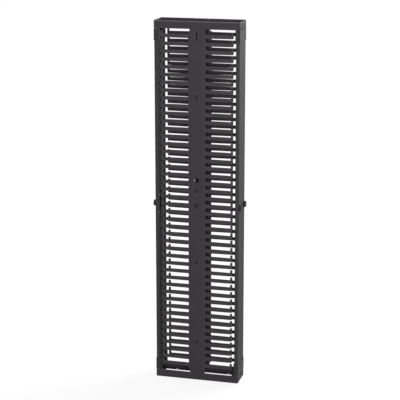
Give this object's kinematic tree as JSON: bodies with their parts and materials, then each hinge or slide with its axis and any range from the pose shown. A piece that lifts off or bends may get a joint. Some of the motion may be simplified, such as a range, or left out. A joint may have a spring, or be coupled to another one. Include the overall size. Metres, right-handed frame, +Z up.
{
  "type": "vertical cable manager",
  "caption": "Tall double-sided vertical cable manager: an open steel frame with rows of plastic fingers on both sides and a latched, dual-hinged door at the front and rear.",
  "frame": {"origin": "on the floor at the middle of the footprint", "axes": "+Z up, -Y to the front door, +Y to the rear door, -X to the left side as seen from the front, +X to the right side"},
  "size_m": [0.1524, 0.526, 2.13],
  "materials": {
    "frame_paint": "satin black powder coat",
    "door_paint": "fine-textured black powder coat",
    "comb_plastic": "moulded, lightly textured",
    "cap_plastic": "moulded, lightly textured",
    "knob_plastic": "moulded, satin",
    "case_plastic": "moulded",
    "bush_nylon": "natural nylon",
    "zinc_steel": "zinc plated",
    "black_screws": "black zinc"
  },
  "bodies": {
    "frame": {"bottom_ring": "frame_paint", "top_ring": "frame_paint", "bottom_pin_plates": "frame_paint", "top_pin_plates": "frame_paint", "bottom_pin_bushes": "bush_nylon", "top_pin_bushes": "bush_nylon", "left_spine": "frame_paint", "right_spine": "frame_paint", "spine_ties": "frame_paint", "tie_screws": "black_screws", "spine_bolts": "black_screws", "left_front_comb_1": "comb_plastic", "left_front_comb_2": "comb_plastic", "left_front_comb_3": "comb_plastic", "left_front_comb_4": "comb_plastic", "left_front_comb_5": "comb_plastic", "left_rear_comb_1": "comb_plastic", "left_rear_comb_2": "comb_plastic", "left_rear_comb_3": "comb_plastic", "left_rear_comb_4": "comb_plastic", "left_rear_comb_5": "comb_plastic", "right_front_comb_1": "comb_plastic", "right_front_comb_2": "comb_plastic", "right_front_comb_3": "comb_plastic", "right_front_comb_4": "comb_plastic", "right_front_comb_5": "comb_plastic", "right_rear_comb_1": "comb_plastic", "right_rear_comb_2": "comb_plastic", "right_rear_comb_3": "comb_plastic", "right_rear_comb_4": "comb_plastic", "right_rear_comb_5": "comb_plastic", "comb_screws": "black_screws"},
    "front_door": {"front_door": "door_paint", "front_door_bottom_cap": "cap_plastic", "front_door_top_cap": "cap_plastic", "front_latch_cases": "case_plastic", "front_door_studs": "zinc_steel"},
    "rear_door": {"rear_door": "door_paint", "rear_door_bottom_cap": "cap_plastic", "rear_door_top_cap": "cap_plastic", "rear_latch_cases": "case_plastic", "rear_door_studs": "zinc_steel"},
    "front_left_knob": {"front_left_knob": "knob_plastic", "front_left_pinion": "zinc_steel"},
    "front_left_upper_rod": {"front_left_upper_rod": "zinc_steel"},
    "front_left_lower_rod": {"front_left_lower_rod": "zinc_steel"},
    "front_right_knob": {"front_right_knob": "knob_plastic", "front_right_pinion": "zinc_steel"},
    "front_right_upper_rod": {"front_right_upper_rod": "zinc_steel"},
    "front_right_lower_rod": {"front_right_lower_rod": "zinc_steel"},
    "rear_left_knob": {"rear_left_knob": "knob_plastic", "rear_left_pinion": "zinc_steel"},
    "rear_left_upper_rod": {"rear_left_upper_rod": "zinc_steel"},
    "rear_left_lower_rod": {"rear_left_lower_rod": "zinc_steel"},
    "rear_right_knob": {"rear_right_knob": "knob_plastic", "rear_right_pinion": "zinc_steel"},
    "rear_right_upper_rod": {"rear_right_upper_rod": "zinc_steel"},
    "rear_right_lower_rod": {"rear_right_lower_rod": "zinc_steel"}
  },
  "joints": [
    {"name": "front_door_swing", "type": "hinge", "parent": "frame", "child": "front_door", "pos_m": [0.062, -0.241, 0], "axis": [0, 0, 1], "range_deg": [0, 180]},
    {"name": "rear_door_swing", "type": "hinge", "parent": "frame", "child": "rear_door", "pos_m": [-0.062, 0.241, 0], "axis": [0, 0, 1], "range_deg": [0, 180]},
    {"name": "front_left_knob_turn", "type": "hinge", "parent": "front_door", "child": "front_left_knob", "pos_m": [-0.05, -0.25, 1.065], "axis": [0, 1, 0], "range_deg": [0, 90.1]},
    {"name": "front_left_upper_rod_slide", "type": "slide", "parent": "front_door", "child": "front_left_upper_rod", "axis": [0, 0, 1], "range_m": [0, 0.01414]},
    {"name": "front_left_lower_rod_slide", "type": "slide", "parent": "front_door", "child": "front_left_lower_rod", "axis": [0, 0, -1], "range_m": [0, 0.01414]},
    {"name": "front_right_knob_turn", "type": "hinge", "parent": "front_door", "child": "front_right_knob", "pos_m": [0.05, -0.25, 1.065], "axis": [0, -1, 0], "range_deg": [-90.1, 0]},
    {"name": "front_right_upper_rod_slide", "type": "slide", "parent": "front_door", "child": "front_right_upper_rod", "axis": [0, 0, 1], "range_m": [-0.01414, 0]},
    {"name": "front_right_lower_rod_slide", "type": "slide", "parent": "front_door", "child": "front_right_lower_rod", "axis": [0, 0, -1], "range_m": [-0.01414, 0]},
    {"name": "rear_left_knob_turn", "type": "hinge", "parent": "rear_door", "child": "rear_left_knob", "pos_m": [-0.05, 0.25, 1.065], "axis": [0, 1, 0], "range_deg": [-90.1, 0]},
    {"name": "rear_left_upper_rod_slide", "type": "slide", "parent": "rear_door", "child": "rear_left_upper_rod", "axis": [0, 0, 1], "range_m": [-0.01414, 0]},
    {"name": "rear_left_lower_rod_slide", "type": "slide", "parent": "rear_door", "child": "rear_left_lower_rod", "axis": [0, 0, -1], "range_m": [-0.01414, 0]},
    {"name": "rear_right_knob_turn", "type": "hinge", "parent": "rear_door", "child": "rear_right_knob", "pos_m": [0.05, 0.25, 1.065], "axis": [0, -1, 0], "range_deg": [0, 90.1]},
    {"name": "rear_right_upper_rod_slide", "type": "slide", "parent": "rear_door", "child": "rear_right_upper_rod", "axis": [0, 0, 1], "range_m": [0, 0.01414]},
    {"name": "rear_right_lower_rod_slide", "type": "slide", "parent": "rear_door", "child": "rear_right_lower_rod", "axis": [0, 0, -1], "range_m": [0, 0.01414]}
  ],
  "couplings": [
    {"joint": "front_left_knob_turn", "follows": "front_left_upper_rod_slide", "rad_per_m": 111.11},
    {"joint": "front_left_lower_rod_slide", "follows": "front_left_upper_rod_slide", "ratio": 1},
    {"joint": "front_right_knob_turn", "follows": "front_right_upper_rod_slide", "rad_per_m": 111.11},
    {"joint": "front_right_lower_rod_slide", "follows": "front_right_upper_rod_slide", "ratio": 1},
    {"joint": "rear_left_knob_turn", "follows": "rear_left_upper_rod_slide", "rad_per_m": 111.11},
    {"joint": "rear_left_lower_rod_slide", "follows": "rear_left_upper_rod_slide", "ratio": 1},
    {"joint": "rear_right_knob_turn", "follows": "rear_right_upper_rod_slide", "rad_per_m": 111.11},
    {"joint": "rear_right_lower_rod_slide", "follows": "rear_right_upper_rod_slide", "ratio": 1}
  ]
}
